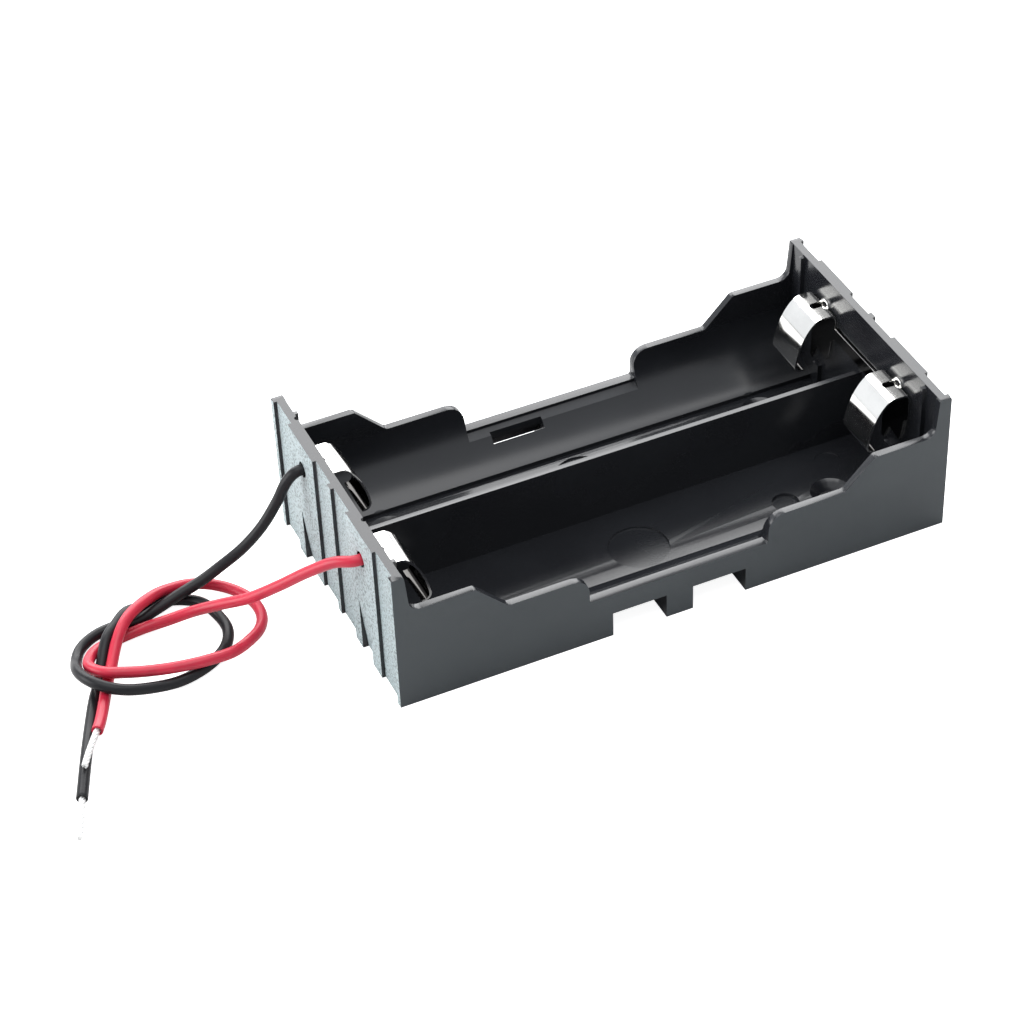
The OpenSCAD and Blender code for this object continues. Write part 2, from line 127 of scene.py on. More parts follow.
class CaseFinish(bpy.types.PropertyGroup):
    edge_radius: FloatProperty(
        name="Edge radius", description="Rounding of the moulded edges",
        default=0.12 * MM, min=0, max=0.3 * MM, subtype="DISTANCE", unit="LENGTH")
    # The outside and inside colours are lit and shaded copies of one black plastic: the long outer
    # walls are painted lighter as painted light, the bays and edges darker as painted shade.
    outside: FloatVectorProperty(
        name="Outside", description="Colour of the long outer walls",
        default=(0.052, 0.062, 0.068), size=3, subtype="COLOR", min=0, max=1)
    inside: FloatVectorProperty(
        name="Inside", description="Colour of the bays and edges",
        default=(0.014, 0.015, 0.018), size=3, subtype="COLOR", min=0, max=1)
    # The end faces' pale colour is a painted sheen, standing in for grazing light on the grained
    # black plastic.
    end_face_sheen: FloatVectorProperty(
        name="End face", description="Colour of the grained end faces",
        default=(0.42, 0.50, 0.515), size=3, subtype="COLOR", min=0, max=1)


class ContactFinish(bpy.types.PropertyGroup):
    edge_radius: FloatProperty(
        name="Edge radius", description="Rounding of the strip's edges",
        default=0.06 * MM, min=0, max=0.15 * MM, subtype="DISTANCE", unit="LENGTH")
    nickel: FloatVectorProperty(
        name="Nickel", description="Colour of the plated strip",
        default=(0.95, 0.94, 0.91), size=3, subtype="COLOR", min=0, max=1)
    # The inner side's dark colour is painted shade on the strip's enclosed side.
    painted_inner_shade: FloatVectorProperty(
        name="Inner side", description="Colour of the side that the bends enclose",
        default=(0.06, 0.058, 0.056), size=3, subtype="COLOR", min=0, max=1)


class LeadFinish(bpy.types.PropertyGroup):
    diameter: FloatProperty(
        name="Diameter", description="Diameter of the insulation",
        default=1.5 * MM, min=1 * MM, max=2 * MM, subtype="DISTANCE", unit="LENGTH")
    strand: FloatProperty(
        name="Strand", description="Diameter of one strand of the bare ends",
        default=0.3 * MM, min=0.1 * MM, max=0.35 * MM, subtype="DISTANCE", unit="LENGTH")
    strands: IntProperty(
        name="Strands", description="Strands laid round the middle one", default=6, min=3, max=9)
    black: FloatVectorProperty(
        name="Black", description="Colour of the black insulation",
        default=(0.014, 0.014, 0.016), size=3, subtype="COLOR", min=0, max=1)
    red: FloatVectorProperty(
        name="Red", description="Colour of the red insulation",
        default=(0.60, 0.022, 0.055), size=3, subtype="COLOR", min=0, max=1)


class StudioSettings(bpy.types.PropertyGroup):
    top_power: FloatProperty(
        name="Top light", description="Power of the light overhead",
        default=2.0, min=0, unit="POWER")
    back_power: FloatProperty(
        name="Back light", description="Power of the panel behind",
        default=4.4, min=0, unit="POWER")
    side_power: FloatProperty(
        name="Side light", description="Power of the panel at the lead end", default=1.5, min=0,
        unit="POWER")


# Node helpers


def new_material(name):
    material = bpy.data.materials.new(name)
    material.use_nodes = True
    tree = material.node_tree
    shader = tree.nodes["Principled BSDF"]
    return material, tree, shader


def add(tree, kind, **settings):
    node = tree.nodes.new(kind)
    for name, value in settings.items():
        setattr(node, name, value)
    return node


def math_node(tree, operation, first, second=None, clamp=False):
    node = add(tree, "ShaderNodeMath", operation=operation, use_clamp=clamp)
    for socket, value in zip(node.inputs, (first, second)):
        if value is None:
            continue
        if isinstance(value, (int, float)):
            socket.default_value = value
        else:
            tree.links.new(value, socket)
    return node.outputs[0]


def ramp(tree, value, low, high, to_low=0.0, to_high=1.0):
    """Smooth step of a value from low to high."""
    node = add(tree, "ShaderNodeMapRange", interpolation_type="SMOOTHSTEP")
    tree.links.new(value, node.inputs["Value"])
    limits = (("From Min", low), ("From Max", high), ("To Min", to_low), ("To Max", to_high))
    for name, number in limits:
        node.inputs[name].default_value = number
    return node.outputs["Result"]


def mix_colour(tree, factor, first, second):
    node = add(tree, "ShaderNodeMix", data_type="RGBA")
    sockets = {"Factor": node.inputs[0], "A": node.inputs[6], "B": node.inputs[7]}
    for name, value in (("Factor", factor), ("A", first), ("B", second)):
        if isinstance(value, bpy.types.NodeSocket):
            tree.links.new(value, sockets[name])
        elif isinstance(value, (int, float)):
            sockets[name].default_value = value
        else:
            sockets[name].default_value = (*value[:3], 1.0)
    return node.outputs[2]


def noise(tree, vector, scale, detail=3.0, roughness=0.5):
    node = add(tree, "ShaderNodeTexNoise")
    tree.links.new(vector, node.inputs["Vector"])
    node.inputs["Scale"].default_value = scale
    node.inputs["Detail"].default_value = detail
    node.inputs["Roughness"].default_value = roughness
    return node.outputs["Fac"]


def object_vector(tree, scale=(1.0, 1.0, 1.0)):
    coordinates = add(tree, "ShaderNodeTexCoord")
    mapping = add(tree, "ShaderNodeMapping")
    mapping.inputs["Scale"].default_value = scale
    tree.links.new(coordinates.outputs["Object"], mapping.inputs["Vector"])
    return mapping.outputs["Vector"]


def shader_group(name, inputs, outputs):
    group = bpy.data.node_groups.new(name, "ShaderNodeTree")
    for label, kind, value in inputs:
        socket = group.interface.new_socket(label, in_out="INPUT", socket_type=kind)
        if value is not None:
            socket.default_value = value
    for label, kind in outputs:
        group.interface.new_socket(label, in_out="OUTPUT", socket_type=kind)
    return group, add(group, "NodeGroupInput"), add(group, "NodeGroupOutput")


def surface_grain():
    """Shared grain: fine pits and a slow drift of tone, from the object's own coordinates."""
    if "surface_grain" in bpy.data.node_groups:
        return bpy.data.node_groups["surface_grain"]
    group, start, end = shader_group(
        "surface_grain",
        [("Vector", "NodeSocketVector", None), ("Grain Scale", "NodeSocketFloat", 4000.0),
         ("Drift Scale", "NodeSocketFloat", 60.0)],
        [("Grain", "NodeSocketFloat"), ("Drift", "NodeSocketFloat")])
    for output, scale, detail in (("Grain", "Grain Scale", 2.0), ("Drift", "Drift Scale", 4.0)):
        node = add(group, "ShaderNodeTexNoise")
        node.inputs["Detail"].default_value = detail
        group.links.new(start.outputs["Vector"], node.inputs["Vector"])
        group.links.new(start.outputs[scale], node.inputs["Scale"])
        group.links.new(node.outputs["Fac"], end.inputs[output])
    return group


def fine_scratches():
    """Shared scratches: thin streaks of a stretched noise, as a mask."""
    if "fine_scratches" in bpy.data.node_groups:
        return bpy.data.node_groups["fine_scratches"]
    group, start, end = shader_group(
        "fine_scratches",
        [("Vector", "NodeSocketVector", None), ("Scale", "NodeSocketFloat", 900.0),
         ("Coverage", "NodeSocketFloat", 0.4)],
        [("Mask", "NodeSocketFloat")])
    node = add(group, "ShaderNodeTexNoise")
    node.inputs["Detail"].default_value = 6.0
    node.inputs["Roughness"].default_value = 0.7
    group.links.new(start.outputs["Vector"], node.inputs["Vector"])
    group.links.new(start.outputs["Scale"], node.inputs["Scale"])
    edge = math_node(group, "SUBTRACT", 0.85, start.outputs["Coverage"])
    above = math_node(group, "SUBTRACT", node.outputs["Fac"], edge)
    group.links.new(math_node(group, "MULTIPLY", above, 6.0, clamp=True), end.inputs["Mask"])
    return group


def place_group(tree, group, vector, **values):
    node = add(tree, "ShaderNodeGroup", node_tree=group)
    tree.links.new(vector, node.inputs["Vector"])
    for name, value in values.items():
        node.inputs[name.replace("_", " ").title()].default_value = value
    return node


def bump(tree, height, strength, distance):
    node = add(tree, "ShaderNodeBump")
    node.inputs["Strength"].default_value = strength
    node.inputs["Distance"].default_value = distance
    tree.links.new(height, node.inputs["Height"])
    return node.outputs["Normal"]


def axis_part(tree, vector, axis):
    """Size of one component of a vector, without its sign."""
    split = add(tree, "ShaderNodeSeparateXYZ")
    tree.links.new(vector, split.inputs["Vector"])
    return math_node(tree, "ABSOLUTE", split.outputs[axis])


# Materials


def moulded_plastic(finish):
    """Black moulding: satin outer walls lightened as painted light, glossier bays darkened as
    painted shade, and grained end faces painted pale grey as a painted sheen.
    """
    material, tree, shader = new_material("moulded_plastic")
    vector = object_vector(tree)
    normal = add(tree, "ShaderNodeNewGeometry").outputs["Normal"]
    grain = place_group(tree, surface_grain(), vector, grain_scale=3400.0, drift_scale=70.0)
    low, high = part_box("case")
    end_mask = math_node(
        tree, "MULTIPLY",
        ramp(tree, axis_part(tree, vector, "X"), high.x - 1.2 * MM, high.x - 1.1 * MM),
        ramp(tree, axis_part(tree, normal, "X"), 0.8, 0.95))
    wall_mask = math_node(
        tree, "MULTIPLY",
        ramp(tree, axis_part(tree, vector, "Y"), high.y - 0.2 * MM, high.y - 0.1 * MM),
        ramp(tree, axis_part(tree, normal, "Y"), 0.8, 0.95))
    speckle = ramp(tree, grain.outputs["Grain"], 0.36, 0.52)
    # Painted sheen: the end faces get a pale grey colour for the grazing light on them, speckled by
    # the grain.
    painted_end_sheen = mix_colour(tree, speckle, [0.38 * part for part in finish.end_face_sheen], finish.end_face_sheen)
    # Painted light and shade: the long outer walls get a lighter copy of the black, the bays and
    # edges a darker one.
    body = mix_colour(tree, wall_mask, finish.inside, finish.outside)
    drifted = mix_colour(
        tree, ramp(tree, grain.outputs["Drift"], 0.3, 0.7, 0.0, 0.25), body, (0.03, 0.033, 0.038))
    tree.links.new(mix_colour(tree, end_mask, drifted, painted_end_sheen), shader.inputs["Base Color"])
    scratches = place_group(
        tree, fine_scratches(), object_vector(tree, (0.25, 1.0, 1.0)), scale=1500.0, coverage=0.28)
    base_roughness = ramp(tree, grain.outputs["Drift"], 0.3, 0.7, 0.19, 0.25)
    scratched = math_node(
        tree, "ADD", base_roughness, math_node(tree, "MULTIPLY", scratches.outputs["Mask"], 0.02))
    satin = math_node(tree, "ADD", scratched, math_node(tree, "MULTIPLY", wall_mask, 0.28))
    tree.links.new(
        math_node(tree, "ADD", satin, math_node(tree, "MULTIPLY", end_mask, 0.33), clamp=True),
        shader.inputs["Roughness"])
    depth = math_node(
        tree, "MULTIPLY", grain.outputs["Grain"],
        math_node(tree, "ADD", 0.08, math_node(tree, "MULTIPLY", end_mask, 0.9)))
    tree.links.new(bump(tree, depth, 0.6, 0.06 * MM), shader.inputs["Normal"])
    return material


def nickel_strip(finish):
    """Bright plated spring strip with rolling streaks along its length, painted dark on its
    enclosed side as painted shade.
    """
    material, tree, shader = new_material("nickel_strip")
    streaks = place_group(
        tree, fine_scratches(), object_vector(tree, (0.06, 1.0, 0.06)), scale=2600.0, coverage=0.3)
    vector = object_vector(tree)
    tone = noise(tree, vector, 300.0)
    plated = mix_colour(
        tree, ramp(tree, tone, 0.35, 0.65), [0.92 * part for part in finish.nickel], finish.nickel)
    # Painted shade: the enclosed side of the strip gets a dark colour in place of the bright
    # nickel.
    enclosed = add(tree, "ShaderNodeAttribute", attribute_name=ENCLOSED).outputs["Fac"]
    tree.links.new(
        mix_colour(tree, enclosed, plated, finish.painted_inner_shade), shader.inputs["Base Color"])
    shader.inputs["Metallic"].default_value = 1.0
    tree.links.new(
        math_node(tree, "ADD", ramp(tree, tone, 0.3, 0.7, 0.09, 0.12),
                  math_node(tree, "MULTIPLY", streaks.outputs["Mask"], 0.03)),
        shader.inputs["Roughness"])
    return material


def tinned_metal():
    """Solder and tinned copper: pale, slightly dull and lumpy."""
    material, tree, shader = new_material("tinned_metal")
    vector = object_vector(tree)
    tone = noise(tree, vector, 2500.0, 4.0, 0.6)
    tree.links.new(
        mix_colour(tree, ramp(tree, tone, 0.35, 0.65), (0.06, 0.06, 0.06), (0.22, 0.22, 0.215)),
        shader.inputs["Base Color"])
    shader.inputs["Metallic"].default_value = 1.0
    tree.links.new(ramp(tree, tone, 0.3, 0.7, 0.28, 0.45), shader.inputs["Roughness"])
    tree.links.new(bump(tree, tone, 0.5, 0.05 * MM), shader.inputs["Normal"])
    return material


def vinyl(name, colour, shine):
    """Soft extruded insulation with a faint ripple along its length."""
    material, tree, shader = new_material(name)
    vector = object_vector(tree)
    grain = place_group(tree, surface_grain(), vector, grain_scale=2600.0, drift_scale=420.0)
    tree.links.new(
        mix_colour(
            tree, ramp(tree, grain.outputs["Drift"], 0.3, 0.7), [0.86 * part for part in colour],
            colour),
        shader.inputs["Base Color"])
    tree.links.new(
        ramp(tree, grain.outputs["Drift"], 0.3, 0.7, 0.28, 0.38), shader.inputs["Roughness"])
    tree.links.new(bump(tree, grain.outputs["Grain"], 0.25, 0.02 * MM), shader.inputs["Normal"])
    shader.inputs["Specular IOR Level"].default_value = shine
    return material


# Mesh helpers


def finish_piece(piece, material=None, replaces=()):
    if material is not None:
        piece.data.materials.clear()
        piece.data.materials.append(material)
    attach(piece, BODY)
    if replaces:
        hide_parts(*replaces)
    return piece


def mesh_object(name, bm):
    mesh = bpy.data.meshes.new(name)
    bm.to_mesh(mesh)
    bm.free()
    piece = bpy.data.objects.new(name, mesh)
    bpy.context.scene.collection.objects.link(piece)
    return piece


def apply_modifiers(piece):
    """Turns a piece's modifiers into plain mesh."""
    graph = bpy.context.evaluated_depsgraph_get()
    mesh = bpy.data.meshes.new_from_object(piece.evaluated_get(graph))
    mesh.name = piece.name
    piece.modifiers.clear()
    piece.data = mesh
    return piece


def rounded_copy(node, name, radius, segments=2):
    """A copy of a CAD node with its sharp edges rounded and its curved faces shaded smooth."""
    bm = bmesh.new()
    bm.from_mesh(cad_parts[node].data)
    bmesh.ops.remove_doubles(bm, verts=bm.verts, dist=0.001 * MM)
    bmesh.ops.dissolve_limit(
        bm, angle_limit=math.radians(0.6), verts=bm.verts, edges=bm.edges, delimit={"NORMAL"})
    piece = mesh_object(name, bm)
    piece.data.shade_smooth()
    bevel = piece.modifiers.new("edges", "BEVEL")
    bevel.width = radius
    bevel.segments = segments
    bevel.limit_method = "ANGLE"
    bevel.angle_limit = math.radians(32)
    bevel.harden_normals = True
    bevel.use_clamp_overlap = True
    return apply_modifiers(piece)


def arc(centre_x, centre_z, radius, first, last, count):
    """Points of an arc in X and Z, with its angles in degrees."""
    angles = (math.radians(first + (last - first) * i / count) for i in range(count + 1))
    return [
        Vector((centre_x + radius * math.cos(a), centre_z + radius * math.sin(a))) for a in angles]


def strip_centreline():
    """Centreline of a contact in X and Z, in millimetres in from the end wall."""
    wall = -STRIP_THICKNESS / 2
    top = FOLD_HEIGHT - STRIP_THICKNESS / 2
    nose = -LEAF_REACH + STRIP_THICKNESS / 2
    fold = wall - BEND_RADIUS - FOLD_FLAT
    controls = [Vector(point) for point in (
        (fold, top), (fold - LEAF_LEAD_IN, top), (nose + CURL_RADIUS / 2, NOSE_HEIGHT + LEAF_BELLY),
        (nose, NOSE_HEIGHT))]
    leaf = []
    for i in range(LEAF_STEPS + 1):
        t = i / LEAF_STEPS
        shares = ((1 - t) ** 3, 3 * (1 - t) ** 2 * t, 3 * (1 - t) * t * t, t ** 3)
        leaf.append(sum((share * point for share, point in zip(shares, controls)), Vector((0, 0))))
    return [
        Vector((wall, STRIP_FOOT)),
        *arc(wall - BEND_RADIUS, top - BEND_RADIUS, BEND_RADIUS, 0, 90, BEND_STEPS),
        *leaf,
        *arc(nose + CURL_RADIUS, NOSE_HEIGHT, CURL_RADIUS, 180, 290, CURL_STEPS)]


def nearest_on_line(place, line):
    """The point of an open line that lies nearest to a place, and the line's direction there."""
    best, heading, reach = line[0], line[1] - line[0], math.inf
    for start, end in zip(line, line[1:]):
        along = end - start
        if along.length_squared == 0:
            continue
        share = min(1, max(0, (place - start).dot(along) / along.length_squared))
        point = start + share * along
        if (place - point).length < reach:
            best, heading, reach = point, along, (place - point).length
    return best, heading


def shade_along_bends(piece, wall_x):
    """Turns the strip's broad faces to its true bends, and marks the enclosed side."""
    mesh = piece.data
    line = strip_centreline()
    sign = math.copysign(1, wall_x)
    normals = [corner.vector.copy() for corner in mesh.corner_normals]
    marks = [0.0] * len(normals)
    found = {}
    for face in mesh.polygons:
        if abs(face.normal.y) > EDGE_PART:
            continue
        for index in face.loop_indices:
            vertex = mesh.loops[index].vertex_index
            if vertex not in found:
                place = mesh.vertices[vertex].co
                flat = Vector(((place.x - wall_x) * sign / MM, place.z / MM))
                point, heading = nearest_on_line(flat, line)
                away = (flat - point).normalized()
                inner = heading.x * away.y - heading.y * away.x > 0
                found[vertex] = Vector((away.x * sign, 0, away.y)), float(inner)
            true, inner = found[vertex]
            if abs(true.dot(face.normal)) > SAME_FACE:
                normals[index] = true if true.dot(face.normal) > 0 else -true
                marks[index] = inner
    mesh.normals_split_custom_set(normals)
    mesh.attributes.new(ENCLOSED, "FLOAT", "CORNER").data.foreach_set("value", marks)


def shade_case(piece):
    """Gives the cradles the normals of true cylinders and the flat faces flat ones."""
    mesh = piece.data
    normals = [corner.vector.copy() for corner in mesh.corner_normals]
    for face in mesh.polygons:
        for index in face.loop_indices:
            place = mesh.vertices[mesh.loops[index].vertex_index].co
            axis_y = math.copysign(BAY_MIDDLE * MM, place.y)
            inward = Vector((0, axis_y - place.y, CRADLE_AXIS * MM - place.z))
            on_cradle = abs(inward.length - CRADLE_RADIUS * MM) < CRADLE_SLACK * MM
            if on_cradle and inward.normalized().dot(face.normal) > SAME_CRADLE:
                normals[index] = inward.normalized()
            elif face.area > FLAT_AREA and normals[index].dot(face.normal) > SAME_FACE:
                normals[index] = face.normal.copy()
    mesh.normals_split_custom_set(normals)


def smooth_route(route, step):
    """Points of a smooth curve through a route given in millimetres, in metres."""
    knots = [Vector(point) * MM for point in route]
    knots = [2 * knots[0] - knots[1], *knots, 2 * knots[-1] - knots[-2]]
    points = []
    for before, start, end, after in zip(knots, knots[1:], knots[2:], knots[3:]):
        count = max(2, round((end - start).length / step))
        for i in range(count):
            t = i / count
            points.append(0.5 * (
                2 * start + (end - before) * t + (2 * before - 5 * start + 4 * end - after) * t * t
                + (3 * start - before - 3 * end + after) * t ** 3))
    points.append(knots[-2])
    return points


def ring_frames(points):
    """Tangent, side and up at each point, carried along without twisting."""
    frames = []
    side = None
    for i, point in enumerate(points):
        tangent = (points[min(i + 1, len(points) - 1)] - points[max(i - 1, 0)]).normalized()
        if side is None:
            side = tangent.cross(Vector((0, 0, 1))).normalized()
        side = (side - side.dot(tangent) * tangent).normalized()
        frames.append((tangent, side, tangent.cross(side)))
    return frames


def insulation_tube(name, points, radius, bore, sides=20):
    """A closed tube along points, with a short open bore at its cut end."""
    bm = bmesh.new()
    frames = ring_frames(points)
    stations = [(point, radius, axes) for point, axes in zip(points, frames)]
    end, axes = points[-1], frames[-1]
    stations[-1] = (end, radius * 0.97, axes)
    stations.insert(-1, (end - axes[0] * 0.06 * MM, radius, axes))
    stations.append((end, bore, axes))
    stations.append((end - axes[0] * 0.5 * MM, bore, axes))
    rings = []
    for centre, size, (_, side, up) in stations:
        rings.append([
            bm.verts.new(centre + size * (math.cos(a) * side + math.sin(a) * up))
            for a in (2 * math.pi * k / sides for k in range(sides))])
    for first, second in zip(rings, rings[1:]):
        for k in range(sides):
            following = (k + 1) % sides
            bm.faces.new((first[k], first[following], second[following], second[k]))
    bm.faces.new(list(reversed(rings[0])))
    bm.faces.new(rings[-1])
    bmesh.ops.recalc_face_normals(bm, faces=bm.faces)
    piece = mesh_object(name, bm)
    piece.data.shade_smooth()
    piece.data.set_sharp_from_angle(angle=math.radians(50))
    return piece


def strand_tree():
    """Geometry nodes for strands twisted round a middle one, along +Z from the origin."""
    tree = bpy.data.node_groups.new("twisted_strands", "GeometryNodeTree")
    for label, kind, value in (
            ("Length", "NodeSocketFloat", 5 * MM), ("Strand Radius", "NodeSocketFloat", 0.15 * MM),
            ("Strands", "NodeSocketInt", 6), ("Turns", "NodeSocketFloat", 1.5),
            ("Bend", "NodeSocketFloat", 0.0), ("Material", "NodeSocketMaterial", None)):
        socket = tree.interface.new_socket(label, in_out="INPUT", socket_type=kind)
        if value is not None:
            socket.default_value = value
    tree.interface.new_socket("Geometry", in_out="OUTPUT", socket_type="NodeSocketGeometry")
    start = add(tree, "NodeGroupInput").outputs
    link = tree.links.new
    end_point = add(tree, "ShaderNodeCombineXYZ")
    link(start["Length"], end_point.inputs["Z"])
    line = add(tree, "GeometryNodeCurvePrimitiveLine")
    link(end_point.outputs[0], line.inputs["End"])
    fine = add(tree, "GeometryNodeResampleCurve")
    fine.inputs["Count"].default_value = 48
    link(line.outputs["Curve"], fine.inputs["Curve"])
    copies = add(tree, "GeometryNodeDuplicateElements", domain="SPLINE")
    link(fine.outputs["Curve"], copies.inputs["Geometry"])
    link(start["Strands"], copies.inputs["Amount"])
    factor = add(tree, "GeometryNodeSplineParameter").outputs["Factor"]
    share = math_node(tree, "DIVIDE", copies.outputs["Duplicate Index"], start["Strands"])
    turned = math_node(tree, "ADD", share, math_node(tree, "MULTIPLY", factor, start["Turns"]))
    angle = math_node(tree, "MULTIPLY", turned, 2 * math.pi)
    # The lay closes a little towards the cut end
    lay = math_node(
        tree, "MULTIPLY", math_node(tree, "MULTIPLY", start["Strand Radius"], 2.0),
        math_node(tree, "SUBTRACT", 1.0, math_node(tree, "MULTIPLY", factor, 0.12)))
    around = add(tree, "ShaderNodeCombineXYZ")
    link(math_node(tree, "MULTIPLY", lay, math_node(tree, "COSINE", angle)), around.inputs["X"])
    link(math_node(tree, "MULTIPLY", lay, math_node(tree, "SINE", angle)), around.inputs["Y"])
    laid = add(tree, "GeometryNodeSetPosition")
    link(copies.outputs["Geometry"], laid.inputs["Geometry"])
    link(around.outputs[0], laid.inputs["Offset"])
    both = add(tree, "GeometryNodeJoinGeometry")
    link(fine.outputs["Curve"], both.inputs[0])
    link(laid.outputs["Geometry"], both.inputs[0])
    sag = add(tree, "ShaderNodeCombineXYZ")
    link(math_node(tree, "MULTIPLY", start["Bend"],
                   math_node(tree, "MULTIPLY", factor, math_node(tree, "SUBTRACT", 1.0, factor))),
         sag.inputs["X"])
    bent = add(tree, "GeometryNodeSetPosition")
    link(both.outputs[0], bent.inputs["Geometry"])
    link(sag.outputs[0], bent.inputs["Offset"])
    profile = add(tree, "GeometryNodeCurvePrimitiveCircle")
    profile.inputs["Resolution"].default_value = 10
    link(start["Strand Radius"], profile.inputs["Radius"])
    swept = add(tree, "GeometryNodeCurveToMesh")
    swept.inputs["Fill Caps"].default_value = True
    link(bent.outputs["Geometry"], swept.inputs["Curve"])
    link(profile.outputs["Curve"], swept.inputs["Profile Curve"])
    real = add(tree, "GeometryNodeRealizeInstances")
    link(swept.outputs["Mesh"], real.inputs[0])
    painted = add(tree, "GeometryNodeSetMaterial")
    link(real.outputs[0], painted.inputs["Geometry"])
    link(start["Material"], painted.inputs["Material"])
    link(painted.outputs["Geometry"], add(tree, "NodeGroupOutput").inputs[0])
    return tree


def strand_bundle(name, start, end, finish, material, bend=0.0):
    """Twisted strands from start to end, both in metres."""
    tree = bpy.data.node_groups.get("twisted_strands") or strand_tree()
    piece = bpy.data.objects.new(name, bpy.data.meshes.new(name))
    bpy.context.scene.collection.objects.link(piece)
    modifier = piece.modifiers.new("strands", "NODES")
    modifier.node_group = tree
    sockets = {item.name: item.identifier for item in tree.interface.items_tree}
    reach = end - start
    for label, value in (
            ("Length", reach.length), ("Strand Radius", finish.strand / 2),
            ("Strands", finish.strands), ("Turns", 1.4), ("Bend", bend), ("Material", material)):
        modifier[sockets[label]] = value
    apply_modifiers(piece)
    turn = Vector((0, 0, 1)).rotation_difference(reach).to_matrix().to_4x4()
    piece.data.transform(Matrix.Translation(start) @ turn)
    piece.data.shade_smooth()
    return piece


def solder_drop(name, node):
    """Solder on a lug: a drop with a slightly uneven skin over the lug's face."""
    low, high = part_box(node)
    radius = (high.y - low.y) / 2
    centre = Vector((high.x - radius * 0.98, (low.y + high.y) / 2, (low.z + high.z) / 2))
    bm = bmesh.new()
    bmesh.ops.create_icosphere(bm, subdivisions=4, radius=1.0)
    back = low.x + 0.32 * MM - centre.x
    for vertex in bm.verts:
        direction = vertex.co.copy()
        wave = 1 + 0.05 * math.sin(4 * direction.y + 2) * math.cos(3 * direction.z)
        vertex.co = direction * radius * 0.95 * min(wave, 1.05)
        vertex.co.x = max(vertex.co.x * 0.95, back)
    bmesh.ops.translate(bm, vec=centre, verts=bm.verts)
    piece = mesh_object(name, bm)
    piece.data.shade_smooth()
    return piece


# Operators


class CELLHOLDER_OT_camera(bpy.types.Operator):
    """Sets the camera at the viewing angle"""

    bl_idname = "cell_holder.camera"
    bl_label = "Camera"

    def execute(self, context):
        camera = bpy.data.objects.new("camera", bpy.data.cameras.new("camera"))
        context.scene.collection.objects.link(camera)
        camera.data.lens = CAMERA_LENS
        camera.data.clip_start = 0.01
        axes = Matrix((CAMERA_RIGHT, CAMERA_UP, CAMERA_BACK)).transposed().to_4x4()
        camera.matrix_world = Matrix.Translation(CAMERA_PLACE) @ axes
        context.scene.camera = camera
        return {"FINISHED"}


class CELLHOLDER_OT_leads(bpy.types.Operator):
    """Lays the two insulated leads through their knot, with their bare ends"""

    bl_idname = "cell_holder.leads"
    bl_label = "Leads"

    def execute(self, context):
        finish = context.scene.lead_finish
        metal = bpy.data.materials.get("tinned_metal") or tinned_metal()
        for colour, route, tip, bend, tone, shine in (
                ("black", BLACK_ROUTE, BLACK_TIP, 0.4 * MM, finish.black, 0.2),
                ("red", RED_ROUTE, RED_TIP, -0.5 * MM, finish.red, 0.4)):
            points = smooth_route(route, 0.45 * MM)
            lead = insulation_tube(f"insulation_{colour}", points, finish.diameter / 2, 0.5 * MM)
            finish_piece(lead, vinyl(f"{colour}_vinyl", tone, shine),
                         [f"lead_{colour}"])
            inside = (points[-2] - points[-1]).normalized() * 0.45 * MM
            strands = strand_bundle(
                f"strands_{colour}", points[-1] + inside, Vector(tip) * MM, finish, metal, bend)
            finish_piece(strands, metal, [f"tip_{colour}"])
        return {"FINISHED"}


class CELLHOLDER_OT_case(bpy.types.Operator):
    """Rounds the edges of the moulded case and gives it its plastic"""

    bl_idname = "cell_holder.case"
    bl_label = "Case"

    def execute(self, context):
        finish = context.scene.case_finish
        shell = rounded_copy("case", "case_shell", finish.edge_radius)
        shade_case(shell)
        finish_piece(shell, moulded_plastic(finish), ["case"])
        return {"FINISHED"}


class CELLHOLDER_OT_contacts(bpy.types.Operator):
    """Finishes the stamped spring contacts"""

    bl_idname = "cell_holder.contacts"
    bl_label = "Contacts"

    def execute(self, context):
        finish = context.scene.contact_finish
        nickel = nickel_strip(finish)
        for node in ("contact_black", "contact_red", "contact_bridge"):
            strip = rounded_copy(node, node.replace("contact", "spring"), finish.edge_radius)
            low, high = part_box(node)
            shade_along_bends(strip, max(low.x, high.x, key=abs))
            finish_piece(strip, nickel, [node])
        return {"FINISHED"}


class CELLHOLDER_OT_solder(bpy.types.Operator):
    """Puts a drop of solder on each lug of the lead end"""

    bl_idname = "cell_holder.solder"
    bl_label = "Solder"

    def execute(self, context):
        metal = bpy.data.materials.get("tinned_metal") or tinned_metal()
        for colour in ("black", "red"):
            drop = solder_drop(f"drop_{colour}", f"solder_{colour}")
            finish_piece(drop, metal, [f"solder_{colour}"])
        return {"FINISHED"}


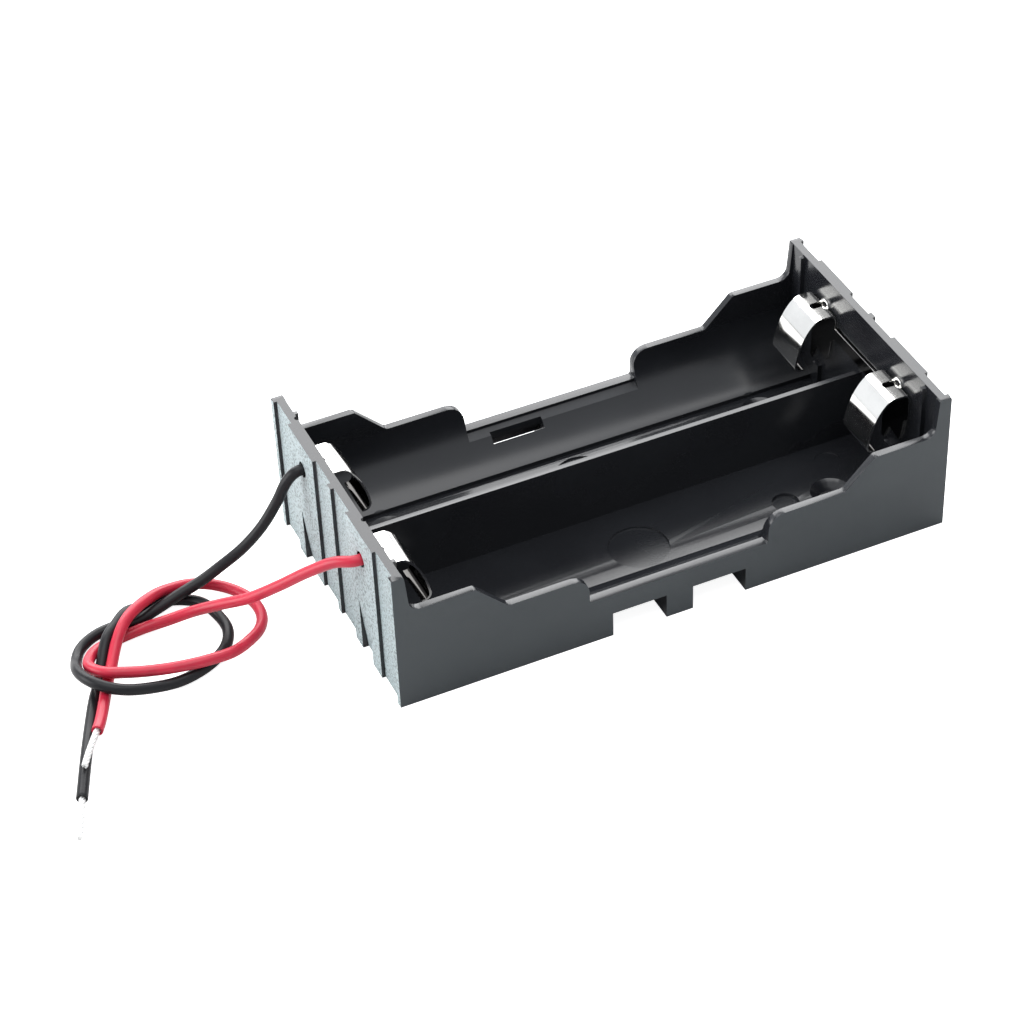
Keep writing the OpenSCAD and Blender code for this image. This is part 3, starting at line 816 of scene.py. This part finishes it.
class CELLHOLDER_OT_studio(bpy.types.Operator):
    """Sets the pale floor, the soft lights and the white surroundings"""

    bl_idname = "cell_holder.studio"
    bl_label = "Studio"

    def execute(self, context):
        settings = context.scene.studio_settings
        context.scene.view_settings.view_transform = "Standard"
        self.floor()
        self.world(context.scene)
        for name, place, size, power in (
                ("top_light", (-0.05, -0.05, 0.55), (0.5, 0.5), settings.top_power),
                ("back_panel", (0.12, 0.42, 0.30), (0.7, 0.4), settings.back_power),
                ("side_panel", (-0.45, 0.12, 0.16), (0.35, 0.3), settings.side_power)):
            lamp = bpy.data.lights.new(name, "AREA")
            lamp.shape = "RECTANGLE"
            lamp.size, lamp.size_y = size
            lamp.energy = power
            light = bpy.data.objects.new(name, lamp)
            context.scene.collection.objects.link(light)
            light.location = place
            aim = Vector((-0.01, 0, 0.01)) - Vector(place)
            light.rotation_euler = aim.to_track_quat("-Z", "Y").to_euler()
        return {"FINISHED"}

    def floor(self):
        bm = bmesh.new()
        bmesh.ops.create_grid(bm, x_segments=1, y_segments=1, size=3)
        bmesh.ops.translate(bm, vec=(0, 0, -0.02 * MM), verts=bm.verts)
        floor = mesh_object("floor", bm)
        material, tree, shader = new_material("pale_floor")
        shader.inputs["Base Color"].default_value = (0.86, 0.86, 0.86, 1)
        shader.inputs["Roughness"].default_value = 0.9
        glow = add(tree, "ShaderNodeEmission")
        glow.inputs["Color"].default_value = WHITE
        rays = add(tree, "ShaderNodeLightPath")
        tree.links.new(math_node(tree, "MULTIPLY", rays.outputs["Is Camera Ray"], 0.9),
                       glow.inputs["Strength"])
        total = add(tree, "ShaderNodeAddShader")
        tree.links.new(shader.outputs[0], total.inputs[0])
        tree.links.new(glow.outputs[0], total.inputs[1])
        tree.links.new(total.outputs[0], tree.nodes["Material Output"].inputs["Surface"])
        floor.data.materials.append(material)

    def world(self, scene):
        world = bpy.data.worlds.new("studio")
        scene.world = world
        world.use_nodes = True
        tree = world.node_tree
        surround = tree.nodes["Background"]
        surround.inputs["Color"].default_value = (0.93, 0.96, 1.0, 1)
        rays = add(tree, "ShaderNodeLightPath")
        shown = math_node(
            tree, "MAXIMUM", rays.outputs["Is Camera Ray"], rays.outputs["Is Glossy Ray"])
        tree.links.new(
            math_node(tree, "ADD", 0.3, math_node(tree, "MULTIPLY", shown, 0.7)),
            surround.inputs["Strength"])


class CELLHOLDER_PT_panel(bpy.types.Panel):
    """Lists the pieces of the cell holder"""

    bl_label = "Cell holder"
    bl_idname = "CELLHOLDER_PT_panel"
    bl_space_type = "VIEW_3D"
    bl_region_type = "UI"
    bl_category = "Cell holder"

    def draw(self, context):
        scene = context.scene
        for title, settings, names in (
                ("Case", scene.case_finish, ("case",)),
                ("Contacts", scene.contact_finish, ("contacts", "solder")),
                ("Leads", scene.lead_finish, ("leads",)),
                ("Studio", scene.studio_settings, ("camera", "studio"))):
            box = self.layout.box()
            box.label(text=title)
            for item in settings.__annotations__:
                box.prop(settings, item)
            for name in names:
                box.operator(f"cell_holder.{name}")


CLASSES = (
    CaseFinish, ContactFinish, LeadFinish, StudioSettings,
    CELLHOLDER_OT_camera, CELLHOLDER_OT_leads, CELLHOLDER_OT_case, CELLHOLDER_OT_contacts,
    CELLHOLDER_OT_solder, CELLHOLDER_OT_studio, CELLHOLDER_PT_panel)
SETTINGS = {
    "case_finish": CaseFinish, "contact_finish": ContactFinish,
    "lead_finish": LeadFinish, "studio_settings": StudioSettings}


def register():
    for cls in CLASSES:
        bpy.utils.register_class(cls)
    for name, cls in SETTINGS.items():
        setattr(bpy.types.Scene, name, PointerProperty(type=cls))


def unregister():
    for name in SETTINGS:
        delattr(bpy.types.Scene, name)
    for cls in reversed(CLASSES):
        bpy.utils.unregister_class(cls)


def main():
    register()
    for name in ("camera", "leads", "case", "contacts", "solder", "studio"):
        getattr(bpy.ops.cell_holder, name)()


if __name__ == "__main__":
    main()
